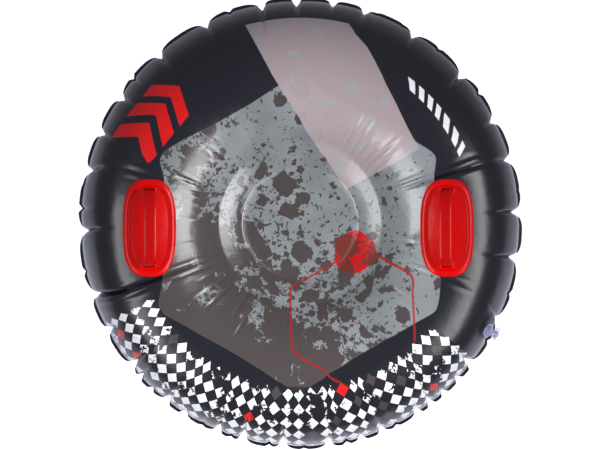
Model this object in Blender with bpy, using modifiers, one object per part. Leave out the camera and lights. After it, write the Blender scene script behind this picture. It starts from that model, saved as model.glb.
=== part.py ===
"""Inflatable saucer sled: two welded films blown up into a fat ring round a flat seat.

Metres, +Z up. The sled lies on its ring with the lowest point at z = 0 and the
middle of the ring's footprint at the origin. +X points to the right handle.
"""

import bisect
import math

import bmesh
import bpy
from mathutils import Matrix, Vector

# The inflated ring, seen from above
RIM_RADIUS = 0.466  # to the weld at the crest of a puff
WEB_RADIUS = 0.171  # the valley crease round the seat
FLOOR_RADIUS = 0.120  # the flat round seat floor, where both films are welded
WEB_HEIGHT = 0.064  # the strip that ties the films together under the crease
BAND_TURN = math.radians(15)  # how much the sloping band round the floor bends

# Films and welds
UPPER_FILM = 0.0006
LOWER_FILM = 0.0009
WEB_FILM = 0.0008
WELD_GAP = 0.0003  # left between pieces that touch
FLANGE_WIDTH = 0.006
FLANGE_AT_PUCKER = 0.0015
CONTACT_DEPTH = 0.0005  # how far the ground flattens the ring

# Puckers: the rim weld is shorter blown up than flat, so it folds at these azimuths
PUCKERS = (3, 17, 28, 43, 59, 73, 82, 91, 100, 116, 130, 145, 156, 166, 182, 199, 209, 220,
           233, 239, 248, 255, 265, 277, 286, 292, 306, 315, 321, 327, 334, 351)
PUCKER_DEPTH = 0.016
PUCKER_VARIATION = 0.35
PUCKER_SHARPNESS = 3.0
PUCKER_SHOULDER = 1.6  # degrees from a fold to the puff beside it
PUCKER_REACH = math.radians(16)  # the folds die out where the film is this flat
PUCKER_FADE = 1.6
SEAM_WAVE = 0.004  # the weld rises at one fold and dips at the next

# Grab handles, seen from above
HANDLE_INSET = 0.165  # from the rim weld in to a handle's middle
HANDLE_SHIFT = Vector((-0.004, -0.009))  # both stand a little left of and below the middle
HANDLE_WIDTH = 0.106
HANDLE_LENGTH = 0.198
HANDLE_SQUARENESS = 2.5
HANDLE_SHEET = 0.0022
HANDLE_LIP_HEIGHT = 0.0045
HANDLE_LIP_INSIDE = 0.68  # where the rounded lip starts, as a share of the way out
HANDLE_LIP_POINTS = 6
GRIP_WIDTH = 0.026
GRIP_THICKNESS = 0.011
GRIP_LENGTH = 0.150
GRIP_CLEARANCE = 0.024  # room for fingers
GRIP_SQUARENESS = 3.0

# The ring kinks at the stiff handles' ends
FOLD_DEPTH = 0.006
FOLD_OFFSET = 0.008
FOLD_HALF_ANGLE = math.radians(2.2)
FOLD_REACH = math.radians(46)

# Valve, along its own axis: 0 is the film's outer face, and plus is outwards
VALVE_AZIMUTH = math.radians(-29.6)
VALVE_SLOPE = math.radians(53)  # how steep the film is where the valve sits
VALVE_FLANGE_RADIUS = 0.0150
VALVE_FLANGE_SHEET = 0.0012
COLLAR_WALL = 0.0020
COLLAR_TOP = 0.0035
COLLAR_BOTTOM = -0.0040
STEM_RADIUS = 0.0068
STEM_CLEARANCE = 0.0003
STEM_TOP = 0.0215
STEM_RIB = 0.0009
STEM_RIB_PITCH = 0.0036
STEM_LIP = 0.0010
BORE_RADIUS = 0.0032
STOPPER_CLEARANCE = 0.0002
STOPPER_LENGTH = 0.0080
STOPPER_HEAD_RADIUS = 0.0054
STOPPER_HEAD = 0.0022
STRAP_RING_WALL = 0.0018
STRAP_RING_HEIGHT = 0.0014
STRAP_RING_DROP = 0.0042  # under the top of the stem
STRAP_BULGE = 0.0052
STRAP_THICKNESS = 0.0016
STRAP_WIDTH = 0.0036
TAB_RADIUS = 0.0042
TAB_HOLE_RADIUS = 0.0018
TAB_SHEET = 0.0015
FLAP_MARGIN = 0.0020
FLAP_SHEET = 0.0008

# How finely the solids are cut
OUTER_RINGS = (90, 72, 53, 36, 20)  # the film's slope at each, from the rim to near the crown
FINE_RINGS = 4  # how many of these carry the puckers' shoulders
INNER_RINGS = 4
BAND_RINGS = 2
HANDLE_SIDES = 36
GRIP_POINTS = 17
TURN_STEPS = 24
MERGE = 0.00001

PARTS = bpy.data.collections.new("saucer_sled")
CUTTERS = bpy.data.collections.new("cutters")


class Section:
    """The blown-up ring cut through: a film that carries tension along the section only."""

    STEPS = 64

    def __init__(self):
        low = WEB_RADIUS
        high = RIM_RADIUS
        for _ in range(60):
            self.crown = (low + high) / 2
            self.spread = RIM_RADIUS ** 2 - self.crown ** 2
            start = (WEB_RADIUS ** 2 - self.crown ** 2) / self.spread
            if start < -1 or self.height(math.asin(start)) < WEB_HEIGHT / 2:
                high = self.crown
            else:
                low = self.crown
        self.wall = self.slope(WEB_RADIUS)
        self.top = self.height(0)
        self.flat = math.sqrt(4 * CONTACT_DEPTH * self.crown / self.spread)

    def radius(self, slope):
        """How far out the film has this slope."""
        return math.sqrt(self.crown ** 2 + self.spread * math.sin(slope))

    def slope(self, radius):
        """The film's slope this far out, negative on the side that faces the seat."""
        share = (radius ** 2 - self.crown ** 2) / self.spread
        return math.asin(max(-1, min(1, share)))

    def height(self, slope):
        """The film's height over the middle plane where it has this slope, by Simpson's rule."""
        step = (math.pi / 2 - slope) / self.STEPS
        total = 0
        for i in range(self.STEPS + 1):
            weight = 1 if i in (0, self.STEPS) else 2 + 2 * (i % 2)
            angle = slope + i * step
            total += weight * self.spread * math.sin(angle) / (2 * self.radius(angle))
        return total * step / 3


SECTION = Section()
MIDDLE = SECTION.top - CONTACT_DEPTH + LOWER_FILM + WELD_GAP / 2  # the weld's height


def clear_scene():
    """Empties the scene and links the two collections."""
    for old in list(bpy.data.objects):
        bpy.data.objects.remove(old, do_unlink=True)
    for collection in (PARTS, CUTTERS):
        bpy.context.scene.collection.children.link(collection)


def plastic(name, colour, roughness, alpha=1.0):
    """A plain plastic finish."""
    made = bpy.data.materials.new(name)
    made.use_nodes = True
    shader = made.node_tree.nodes["Principled BSDF"]
    shader.inputs["Base Color"].default_value = (*colour, 1.0)
    shader.inputs["Metallic"].default_value = 0.0
    shader.inputs["Roughness"].default_value = roughness
    shader.inputs["Alpha"].default_value = alpha
    return made


def add_object(name, mesh, finish=None, collection=PARTS):
    """Puts a mesh in the scene as one named object."""
    made = bpy.data.objects.new(name, mesh)
    collection.objects.link(made)
    if finish:
        mesh.materials.append(finish)
    return made


def mesh_from(name, bm):
    """Turns a bmesh into a smooth shaded mesh."""
    mesh = bpy.data.meshes.new(name)
    bm.to_mesh(mesh)
    bm.free()
    mesh.shade_smooth()
    mesh.set_sharp_from_angle(angle=math.radians(40))
    return mesh


def spun(profile, steps):
    """Spins (radius, height) points round the Z axis into a surface."""
    bm = bmesh.new()
    points = [bm.verts.new((radius, 0, height)) for radius, height in profile]
    edges = [bm.edges.new(pair) for pair in zip(points, points[1:])]
    bmesh.ops.spin(bm, geom=points + edges, cent=(0, 0, 0), axis=(0, 0, 1),
                   angle=math.tau, steps=steps, use_merge=True)
    bmesh.ops.remove_doubles(bm, verts=bm.verts, dist=MERGE)
    return bm


def boolean(target, other, operation):
    """Cuts or joins another object with this one."""
    step = target.modifiers.new(other.name, "BOOLEAN")
    step.operation = operation
    step.solver = "EXACT"
    step.object = other
    hide(other)


def hide(guide):
    """Moves a helper object to the cutters' collection, out of the model."""
    for collection in list(guide.users_collection):
        collection.objects.unlink(guide)
    CUTTERS.objects.link(guide)
    guide.hide_render = True
    guide.display_type = "WIRE"


def angle_between(a, b):
    """The smaller angle between two azimuths."""
    return abs((a - b + math.pi) % math.tau - math.pi)


def handle_centres():
    """The plan position of each handle's middle, left and right."""
    reach = RIM_RADIUS - HANDLE_INSET
    return [HANDLE_SHIFT + Vector((side * reach, 0)) for side in (-1, 1)]


def fold_azimuths():
    """The ring kinks just past both ends of each handle."""
    reach = HANDLE_LENGTH / 2 + FOLD_OFFSET
    return [math.atan2(centre.y + end * reach, centre.x)
            for centre in handle_centres() for end in (-1, 1)]


def fold_dip(azimuth, slope):
    """How deep those kinks are here."""
    along = max(0, 1 - (slope / FOLD_REACH) ** 2)
    across = [max(0, 1 - angle_between(azimuth, fold) / FOLD_HALF_ANGLE)
              for fold in fold_azimuths()]
    return FOLD_DEPTH * along * max(across)


def pucker_depth(index):
    """Each pucker has its own depth."""
    return PUCKER_DEPTH * (1 + PUCKER_VARIATION * math.sin(2.4 * index))


def seam(azimuth):
    """How far the rim weld is drawn in, how far it rises, and how near a pucker this is, 0 to 1."""
    degrees = math.degrees(azimuth) % 360
    index = (bisect.bisect_right(PUCKERS, degrees) - 1) % len(PUCKERS)
    after = (index + 1) % len(PUCKERS)
    width = (PUCKERS[after] - PUCKERS[index]) % 360
    along = ((degrees - PUCKERS[index]) % 360) / width
    near = abs(2 * along - 1) ** PUCKER_SHARPNESS
    depth = pucker_depth(index) * (1 - along) + pucker_depth(after) * along
    rise = SEAM_WAVE * (-1) ** index * (1 - 2 * along)
    return depth * near, rise * near, near


def pucker_weight(slope):
    """1 at the rim weld, and 0 where the puckers have died out."""
    share = (slope - PUCKER_REACH) / (math.pi / 2 - PUCKER_REACH)
    return max(0, share) ** PUCKER_FADE


def columns():
    """The azimuths that a film is cut at, each with whether it carries on to the seat."""
    wanted = []
    for index, start in enumerate(PUCKERS):
        width = (PUCKERS[(index + 1) % len(PUCKERS)] - start) % 360
        shoulder = min(PUCKER_SHOULDER / width, 0.25)
        for share, carries_on in ((0, True), (shoulder, False), (0.5, True), (1 - shoulder, False)):
            wanted.append((math.radians(start + share * width) % math.tau, carries_on))
    for fold in fold_azimuths():
        for side in (-1, 0, 1):
            new = (fold + side * FOLD_HALF_ANGLE) % math.tau
            spare = [old for old in wanted if angle_between(old[0], new) < FOLD_HALF_ANGLE / 3]
            wanted = [old for old in wanted if old not in spare] + [(new, True)]
    return sorted(wanted)


def ring_point(slope, azimuth, side):
    """The inner face of a film on the ring, as (radius, height), side 1 up and -1 down."""
    inset, rise, _ = seam(azimuth)
    weight = pucker_weight(slope)
    radius = SECTION.radius(slope) - inset * weight
    height = SECTION.height(slope)
    if side > 0:
        dip = fold_dip(azimuth, slope)
        radius -= dip * math.sin(slope)
        height -= dip * math.cos(slope)
    else:
        height = min(height, SECTION.top - CONTACT_DEPTH)
    return radius, MIDDLE + side * (height + WELD_GAP / 2) + rise * weight ** 2


def film_slopes():
    """The slopes that a film is cut at, from the rim weld to the valley crease."""
    outer = [math.radians(angle) for angle in OUTER_RINGS]
    step = (SECTION.wall + SECTION.flat) / INNER_RINGS
    return outer + [SECTION.flat] + [step * i - SECTION.flat for i in range(INNER_RINGS + 1)]


def band_points():
    """The sloping band from the crease down to the floor, as an arc that bulges up."""
    start = Vector((WEB_RADIUS, SECTION.height(SECTION.wall)))
    end = Vector((FLOOR_RADIUS, 0))
    along = (end - start).normalized()
    bulge = Vector((along.y, -along.x))
    reach = (end - start).length / (2 * math.sin(BAND_TURN / 2))
    centre = (start + end) / 2 - bulge * reach * math.cos(BAND_TURN / 2)
    turns = [BAND_TURN * (i / BAND_RINGS - 0.5) for i in range(1, BAND_RINGS + 1)]
    return [centre + reach * (along * math.sin(turn) + bulge * math.cos(turn)) for turn in turns]


def film(name, side, thickness, finish):
    """One film: rim flange, ring, band and floor, turned and then puckered."""
    azimuths = columns()
    slopes = film_slopes()
    rings = 1 + len(slopes) + BAND_RINGS
    bm = spun([(rings - i, 0) for i in range(rings)], len(azimuths))
    bmesh.ops.holes_fill(bm, edges=[e for e in bm.edges if e.is_boundary and rings not in
                                    (round(e.verts[0].co.length), round(e.verts[1].co.length))])
    band = band_points()
    merges = {}
    grid = {}
    for vert in bm.verts:
        ring = rings - round(vert.co.length)
        column = round(math.atan2(vert.co.y, vert.co.x) / math.tau * len(azimuths)) % len(azimuths)
        grid[ring, column] = vert
    for (ring, column), vert in grid.items():
        azimuth, carries_on = azimuths[column]
        if ring > FINE_RINGS and not carries_on:
            merges[vert] = grid[ring, nearest_kept(azimuths, column)]
            continue
        if ring == 0:
            radius, height = ring_point(slopes[0], azimuth, side)
            near = seam(azimuth)[2]
            radius += FLANGE_WIDTH * (1 - near) + FLANGE_AT_PUCKER * near
        elif ring <= len(slopes):
            radius, height = ring_point(slopes[ring - 1], azimuth, side)
        else:
            radius, rise = band[ring - len(slopes) - 1]
            height = MIDDLE + side * (rise + WELD_GAP / 2)
        vert.co = (radius * math.cos(azimuth), radius * math.sin(azimuth), height)
    bmesh.ops.weld_verts(bm, targetmap=merges)
    bm.normal_update()
    floor = max(bm.faces, key=lambda face: len(face.verts))
    if floor.normal.z * side < 0:
        bmesh.ops.reverse_faces(bm, faces=bm.faces)
    made = add_object(name, mesh_from(name, bm), finish)
    for edge in made.data.edges:
        reach = {round(made.data.vertices[i].co.xy.length, 4) for i in edge.vertices}
        if reach in ({WEB_RADIUS}, {FLOOR_RADIUS}):
            edge.use_edge_sharp = True
    wall = made.modifiers.new("film", "SOLIDIFY")
    wall.thickness = thickness
    wall.offset = 1
    return made


def nearest_kept(azimuths, column):
    """The nearest column that carries on to the seat."""
    kept = [i for i, (_, carries_on) in enumerate(azimuths) if carries_on]
    return min(kept, key=lambda i: angle_between(azimuths[i][0], azimuths[column][0]))


def seat_web(finish):
    """The strip that stands between the films under the valley crease."""
    azimuths = [azimuth for azimuth, carries_on in columns() if carries_on]
    reach = SECTION.height(SECTION.wall) + WELD_GAP / 2 - WELD_GAP - WEB_FILM / 2
    bm = spun([(WEB_RADIUS, reach), (WEB_RADIUS, -reach)], len(azimuths))
    for vert in bm.verts:
        column = round(math.atan2(vert.co.y, vert.co.x) / math.tau * len(azimuths))
        azimuth = azimuths[column % len(azimuths)]
        vert.co.x = WEB_RADIUS * math.cos(azimuth)
        vert.co.y = WEB_RADIUS * math.sin(azimuth)
        vert.co.z += MIDDLE
    made = add_object("seat_web", mesh_from("seat_web", bm), finish)
    wall = made.modifiers.new("film", "SOLIDIFY")
    wall.thickness = WEB_FILM
    wall.offset = 0
    return made


def on_film(x, y):
    """The point of the upper film's outer face above a plan position, and its normal."""
    slope = SECTION.slope(math.hypot(x, y))
    azimuth = math.atan2(y, x)
    normal = Vector((math.sin(slope) * math.cos(azimuth), math.sin(slope) * math.sin(azimuth),
                     math.cos(slope)))
    height = MIDDLE + WELD_GAP / 2 + SECTION.height(slope) + UPPER_FILM / math.cos(slope)
    return Vector((x, y, height)), normal


def oval(share, angle):
    """A plan offset on the handle's oval, share of the way out."""
    power = 2 / HANDLE_SQUARENESS
    cosine = math.cos(angle)
    sine = math.sin(angle)
    return (share * HANDLE_WIDTH / 2 * math.copysign(abs(cosine) ** power, cosine),
            share * HANDLE_LENGTH / 2 * math.copysign(abs(sine) ** power, sine))


def handle_profile():
    """The base's section as (share of the way out, height over the film)."""
    sheet = WELD_GAP + HANDLE_SHEET
    lip = []
    for i in range(HANDLE_LIP_POINTS + 1):
        along = i / HANDLE_LIP_POINTS
        rise = HANDLE_LIP_HEIGHT * math.sin(math.pi * along) ** 0.6
        lip.append((HANDLE_LIP_INSIDE + (1 - HANDLE_LIP_INSIDE) * along,
                    sheet * (1 - along / 2) + rise))
    return [(0, sheet), (0.35, sheet)] + lip + [(1 - i / 5, WELD_GAP) for i in range(6)]


def handle(name, centre, finish):
    """One moulded handle: an oval base draped on the film, with the grip bar over it."""
    half = HANDLE_LENGTH / 2
    bm = spun([(share * half, height) for share, height in handle_profile()], HANDLE_SIDES)
    for vert in bm.verts:
        share = math.hypot(vert.co.x, vert.co.y) / half
        aside, along = oval(share, math.atan2(vert.co.y, vert.co.x))
        point, normal = on_film(centre.x + aside, centre.y + along)
        vert.co = point + normal * vert.co.z
    bmesh.ops.recalc_face_normals(bm, faces=bm.faces)
    made = add_object(name, mesh_from(name, bm), finish)
    boolean(made, grip(name + "_grip", centre), "UNION")
    return made


def grip(name, centre):
    """The bar along the handle, an arch whose feet stand upright in the base."""
    foot, normal = on_film(centre.x, centre.y)
    across = Vector((0, 1, 0)).cross(normal).normalized()
    frame = Matrix((across, normal.cross(across), normal)).transposed().to_4x4()
    frame.translation = foot
    sheet = WELD_GAP + HANDLE_SHEET
    rise = sheet + GRIP_CLEARANCE + GRIP_THICKNESS / 2
    ends = [frame.inverted() @ on_film(centre.x, centre.y + end * GRIP_LENGTH / 2)[0]
            for end in (-1, 1)]
    curve = bpy.data.curves.new(name, "CURVE")
    curve.dimensions = "3D"
    curve.bevel_depth = GRIP_THICKNESS / 2
    curve.bevel_resolution = 4
    curve.use_fill_caps = True
    spline = curve.splines.new("POLY")
    spline.points.add(GRIP_POINTS - 1)
    power = 2 / GRIP_SQUARENESS
    for i, point in enumerate(spline.points):
        turn = math.pi * i / (GRIP_POINTS - 1)
        cosine = math.cos(turn)
        base = ends[0 if cosine > 0 else 1].z + sheet / 2
        along = -math.copysign(abs(cosine) ** power, cosine) * GRIP_LENGTH / 2
        up = base + (rise - base) * math.sin(turn) ** power
        point.co = (0, along, up, 1)
    made = bpy.data.objects.new(name, curve)
    CUTTERS.objects.link(made)
    made.matrix_world = frame @ Matrix.Diagonal((GRIP_WIDTH / GRIP_THICKNESS, 1, 1, 1))
    return solid_curve(made)


def solid_curve(old):
    """Turns a curve object into a closed mesh object in the same place."""
    bpy.context.view_layer.update()
    evaluated = old.evaluated_get(bpy.context.evaluated_depsgraph_get())
    mesh = bpy.data.meshes.new_from_object(evaluated)
    bm = bmesh.new()
    bm.from_mesh(mesh)
    bmesh.ops.remove_doubles(bm, verts=bm.verts, dist=MERGE)
    bmesh.ops.recalc_face_normals(bm, faces=bm.faces)
    bm.to_mesh(mesh)
    bm.free()
    made = bpy.data.objects.new(old.name, mesh)
    made.matrix_world = old.matrix_world.copy()
    CUTTERS.objects.link(made)
    bpy.data.objects.remove(old, do_unlink=True)
    return made


def valve_frame():
    """The valve's own frame: origin on the film, Z outwards, X along the rim."""
    radius, height = ring_point(VALVE_SLOPE, VALVE_AZIMUTH, 1)
    outwards = Vector((math.cos(VALVE_AZIMUTH), math.sin(VALVE_AZIMUTH), 0))
    normal = outwards * math.sin(VALVE_SLOPE) + Vector((0, 0, math.cos(VALVE_SLOPE)))
    tangent = Vector((-outwards.y, outwards.x, 0))
    frame = Matrix((tangent, normal.cross(tangent), normal)).transposed().to_4x4()
    frame.translation = outwards * radius + Vector((0, 0, height)) + normal * UPPER_FILM
    return frame


def turned(name, profile, finish, frame, closed=True):
    """A turned piece: a (radius, height) outline that a Screw modifier takes round the axis."""
    mesh = bpy.data.meshes.new(name)
    points = [(radius, 0, height) for radius, height in profile]
    edges = [(i, i + 1) for i in range(len(points) - 1)]
    if closed:
        edges.append((len(points) - 1, 0))
    mesh.from_pydata(points, edges, [])
    made = add_object(name, mesh, finish)
    made.matrix_world = frame
    screw = made.modifiers.new("turn", "SCREW")
    screw.steps = TURN_STEPS
    screw.render_steps = TURN_STEPS
    screw.use_merge_vertices = True
    screw.merge_threshold = MERGE
    screw.use_smooth_shade = True
    return made


def collar_bore():
    """The collar's bore clears the stem's ribs."""
    return STEM_RADIUS + STEM_RIB + STEM_CLEARANCE


def film_rise(frame, x, y):
    """How far the film's outer face rises along the valve's axis beside the valve."""
    slope = VALVE_SLOPE
    azimuth = VALVE_AZIMUTH
    for _ in range(6):
        radius, height = ring_point(slope, azimuth, 1)
        found = Vector((radius * math.cos(azimuth), radius * math.sin(azimuth), height))
        local = frame.inverted() @ found
        azimuth += (x - local.x) / radius
        slope -= (y - local.y) * 2 * radius / (SECTION.spread * math.cos(slope))
    return local.z + UPPER_FILM


def valve_base(finish, frame):
    """The flange that bends with the film, and the collar through it for the stem."""
    bore = collar_bore()
    outside = bore + COLLAR_WALL
    flange_top = WELD_GAP + VALVE_FLANGE_SHEET
    edge = VALVE_FLANGE_SHEET / 3
    profile = [
        (bore, COLLAR_TOP), (outside - edge, COLLAR_TOP), (outside, COLLAR_TOP - edge),
        (outside, flange_top), (VALVE_FLANGE_RADIUS - edge, flange_top),
        (VALVE_FLANGE_RADIUS, flange_top - edge), (VALVE_FLANGE_RADIUS, WELD_GAP),
        (outside, WELD_GAP), (outside, COLLAR_BOTTOM), (bore, COLLAR_BOTTOM)]
    bm = spun(profile + profile[:1], TURN_STEPS)
    for vert in bm.verts:
        if 0 < vert.co.z < flange_top + MERGE:
            vert.co.z += film_rise(frame, vert.co.x, vert.co.y)
    bmesh.ops.recalc_face_normals(bm, faces=bm.faces)
    made = add_object("valve_base", mesh_from("valve_base", bm), finish)
    made.matrix_world = frame


def stem_bottom():
    """The stem's lip sits just under the collar, so it can't be pulled out."""
    return COLLAR_BOTTOM - WELD_GAP - STEM_LIP


def valve_stem(finish, frame):
    """The ribbed tube that is pulled out to blow the sled up, and pushed in for use."""
    profile = [(BORE_RADIUS, STEM_TOP), (STEM_RADIUS - STEM_RIB / 2, STEM_TOP),
               (STEM_RADIUS, STEM_TOP - STEM_RIB / 2)]
    top = STEM_TOP - STRAP_RING_DROP - STRAP_RING_HEIGHT
    level = top - STEM_RIB
    while level - STEM_RIB_PITCH > COLLAR_TOP:
        profile += [(STEM_RADIUS, level), (STEM_RADIUS + STEM_RIB, level - STEM_RIB_PITCH * 0.25),
                    (STEM_RADIUS + STEM_RIB, level - STEM_RIB_PITCH * 0.5),
                    (STEM_RADIUS, level - STEM_RIB_PITCH * 0.75)]
        level -= STEM_RIB_PITCH
    lip = collar_bore() + STEM_LIP
    bottom = stem_bottom()
    profile += [(STEM_RADIUS, bottom + STEM_LIP), (lip, bottom + STEM_LIP), (lip, bottom),
                (BORE_RADIUS, bottom)]
    return turned("valve_stem", profile, finish, frame)


def valve_flap(finish, frame):
    """The check flap under the bore, hinged at its edge."""
    top = stem_bottom() - WELD_GAP
    radius = BORE_RADIUS + FLAP_MARGIN
    return turned("valve_flap", [(0, top), (radius, top), (radius, top - FLAP_SHEET),
                                 (0, top - FLAP_SHEET)], finish, frame, closed=False)


def valve_stopper(finish, frame):
    """The plug in the bore, with a pull tab, and a strap to a ring round the stem."""
    under = STEM_TOP + WELD_GAP
    over = under + STOPPER_HEAD
    shaft = BORE_RADIUS - STOPPER_CLEARANCE
    edge = STOPPER_HEAD / 4
    made = turned("valve_stopper", [
        (0, over - edge), (shaft * 0.6, over - edge), (shaft, over),
        (STOPPER_HEAD_RADIUS - edge, over), (STOPPER_HEAD_RADIUS, over - edge),
        (STOPPER_HEAD_RADIUS, under), (shaft, under), (shaft, under - STOPPER_LENGTH + edge),
        (shaft - edge, under - STOPPER_LENGTH), (0, under - STOPPER_LENGTH)],
        finish, frame, closed=False)
    inside = STEM_RADIUS + STEM_RIB + STEM_CLEARANCE
    outside = inside + STRAP_RING_WALL
    level = STEM_TOP - STRAP_RING_DROP
    boolean(made, turned("strap_ring", [
        (inside, level), (outside, level), (outside, level - STRAP_RING_HEIGHT),
        (inside, level - STRAP_RING_HEIGHT)], None, frame), "UNION")
    tab_top = under + (STOPPER_HEAD + TAB_SHEET) / 2
    tab_frame = frame @ Matrix.Translation((-STOPPER_HEAD_RADIUS - TAB_HOLE_RADIUS, 0, 0))
    boolean(made, turned("pull_tab", [
        (TAB_HOLE_RADIUS, tab_top), (TAB_RADIUS, tab_top), (TAB_RADIUS, tab_top - TAB_SHEET),
        (TAB_HOLE_RADIUS, tab_top - TAB_SHEET)], None, tab_frame), "UNION")
    boolean(made, strap(frame, (inside + outside) / 2, level - STRAP_RING_HEIGHT / 2,
                        STOPPER_HEAD_RADIUS * 0.7, under + STOPPER_HEAD / 2), "UNION")
    return made


def strap(frame, ring_radius, ring_level, head_radius, head_level):
    """The strap from the ring, out round in a half loop and back into the plug's head."""
    curve = bpy.data.curves.new("strap", "CURVE")
    curve.dimensions = "3D"
    curve.bevel_depth = STRAP_THICKNESS / 2
    curve.bevel_resolution = 2
    curve.use_fill_caps = True
    middle = (ring_level + head_level) / 2
    rise = (head_level - ring_level) / 2
    turns = [math.pi * (i / 8 - 0.5) for i in range(9)]
    points = [(ring_radius, ring_level)]
    points += [(ring_radius + STRAP_BULGE * (0.25 + math.cos(turn)), middle + rise * math.sin(turn))
               for turn in turns]
    points += [(head_radius, head_level)]
    spline = curve.splines.new("POLY")
    spline.points.add(len(points) - 1)
    for point, (radius, level) in zip(spline.points, points):
        point.co = (radius, 0, level, 1)
    made = bpy.data.objects.new("strap", curve)
    CUTTERS.objects.link(made)
    made.matrix_world = frame @ Matrix.Diagonal((1, STRAP_WIDTH / STRAP_THICKNESS, 1, 1))
    return solid_curve(made)


def valve_hole(frame):
    """The hole in the upper film that the collar goes through."""
    mesh = bpy.data.meshes.new("valve_hole")
    bm = bmesh.new()
    radius = collar_bore() + COLLAR_WALL + WELD_GAP
    bmesh.ops.create_cone(bm, cap_ends=True, segments=TURN_STEPS, radius1=radius,
                          radius2=radius, depth=4 * radius)
    bm.to_mesh(mesh)
    bm.free()
    made = add_object("valve_hole", mesh)
    made.matrix_world = frame
    return made


def main():
    clear_scene()
    black = plastic("printed_film", (0.022, 0.022, 0.028), 0.28)
    under = plastic("runner_film", (0.020, 0.020, 0.024), 0.35)
    tie = plastic("web_film", (0.030, 0.030, 0.034), 0.40)
    red = plastic("handle_moulding", (0.55, 0.006, 0.005), 0.25)
    clear = plastic("valve_moulding", (0.72, 0.74, 0.86), 0.20, 0.6)
    frame = valve_frame()
    upper = film("upper_film", 1, UPPER_FILM, black)
    boolean(upper, valve_hole(frame), "DIFFERENCE")
    film("lower_film", -1, LOWER_FILM, under)
    seat_web(tie)
    for name, centre in zip(("left_handle", "right_handle"), handle_centres()):
        handle(name, centre, red)
    valve_base(clear, frame)
    valve_stem(clear, frame)
    valve_flap(clear, frame)
    valve_stopper(clear, frame)


main()
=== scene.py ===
# %% [markdown]
# # A blow-up saucer sled
#
# The sled is two round sheets of soft PVC film. They are welded together along the rim
# and over a round seat in the middle, and a strip inside ties them where the seat starts.
# Air makes the rest stand up as a fat ring. Two moulded handles are welded to the top, and
# a small clear valve sits on the rim. The solid model has all of this at its real size.
# This script dresses it: finer shapes, the folds of the film, the print and the finishes.

# %% Load the solid model
from math import asin, atan2, cos, degrees, pi, radians, sin, sqrt, tau

import bpy
import numpy as np
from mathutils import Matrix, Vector


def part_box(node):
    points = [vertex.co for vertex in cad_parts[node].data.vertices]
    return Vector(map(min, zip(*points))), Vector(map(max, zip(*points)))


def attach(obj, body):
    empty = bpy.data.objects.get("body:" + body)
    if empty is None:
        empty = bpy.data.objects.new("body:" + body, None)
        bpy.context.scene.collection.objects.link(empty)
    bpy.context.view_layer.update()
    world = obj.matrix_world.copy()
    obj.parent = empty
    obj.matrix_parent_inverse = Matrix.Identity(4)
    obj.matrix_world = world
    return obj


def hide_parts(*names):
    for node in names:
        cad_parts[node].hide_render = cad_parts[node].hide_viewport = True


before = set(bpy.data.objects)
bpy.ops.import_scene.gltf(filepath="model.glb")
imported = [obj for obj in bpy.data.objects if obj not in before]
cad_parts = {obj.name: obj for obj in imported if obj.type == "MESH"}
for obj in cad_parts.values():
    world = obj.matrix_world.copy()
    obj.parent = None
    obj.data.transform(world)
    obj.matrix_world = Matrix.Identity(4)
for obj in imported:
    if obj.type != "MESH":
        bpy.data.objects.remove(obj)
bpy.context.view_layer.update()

# %% [markdown]
# ## Camera
#
# The photograph looks straight down. The rim weld lies 121 mm up, and there one pixel is
# 2.1 mm, so a picture 600 pixels wide takes in 1.26 m. A camera 3 m above the weld shows the
# tall ring a little larger than the low seat, as the photograph does.

# %% Camera
WELD_HEIGHT = 0.1210
CAMERA_DISTANCE = 3.0
PICTURE_WIDTH = 1.260
bpy.ops.object.camera_add(location=(-0.0004, -0.0021, WELD_HEIGHT + CAMERA_DISTANCE),
                          rotation=(0, 0, 0))
camera = bpy.context.object
camera.data.lens = camera.data.sensor_width * CAMERA_DISTANCE / PICTURE_WIDTH
bpy.context.scene.camera = camera
bpy.context.scene.view_settings.view_transform = "Standard"
print("lens, mm:", round(camera.data.lens, 1))

# %% [markdown]
# ## Shader nodes
#
# The room, the floor and every finish are built of shader nodes. Each cell that builds one
# first sets the tree at hand.

# %% Helpers for nodes, colours and finishes
PVC_IOR = 1.53


def add(kind, inputs=(), stops=(), **settings):
    """Adds a node with its inputs, which are values or links, and returns its outputs."""
    node = tree.nodes.new("ShaderNode" + kind)
    for key, value in settings.items():
        setattr(node, key, value)
    for key, value in inputs.items() if isinstance(inputs, dict) else enumerate(inputs):
        if isinstance(value, bpy.types.NodeSocket):
            tree.links.new(value, node.inputs[key])
        else:
            node.inputs[key].default_value = linear(value) if isinstance(value, str) else value
    if stops:
        ramp = node.color_ramp.elements
        while len(ramp) < len(stops):
            ramp.new(0.5)
        for stop, (position, code) in zip(ramp, stops):
            stop.position, stop.color = position, linear(code)
    return node.outputs


def linear(code):
    """An sRGB hex colour as the linear colour that a shader takes."""
    parts = [int(code[i:i + 2], 16) / 255 for i in (1, 3, 5)]
    return [p / 12.92 if p < 0.04045 else ((p + 0.055) / 1.055) ** 2.4 for p in parts] + [1]


def blank_finish(name):
    """A new material that has no nodes yet, and its node tree."""
    finish = bpy.data.materials.new(name)
    finish.use_nodes = True
    finish.node_tree.nodes.clear()
    return finish, finish.node_tree


def coat(pieces, finish, looks):
    """Ends a finish with its surface, and puts it on pieces in place of what they have."""
    shader = add("BsdfPrincipled", looks)
    add("OutputMaterial", {"Surface": shader[0]})
    for piece in pieces:
        piece.data.materials.clear()
        piece.data.materials.append(finish)


def relief(height, strength, distance):
    """What every PVC finish has: its IOR, and a relief in its surface."""
    bump = add("Bump", {"Height": height, "Strength": strength, "Distance": distance})
    return {"IOR": PVC_IOR, "Normal": bump[0]}


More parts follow.
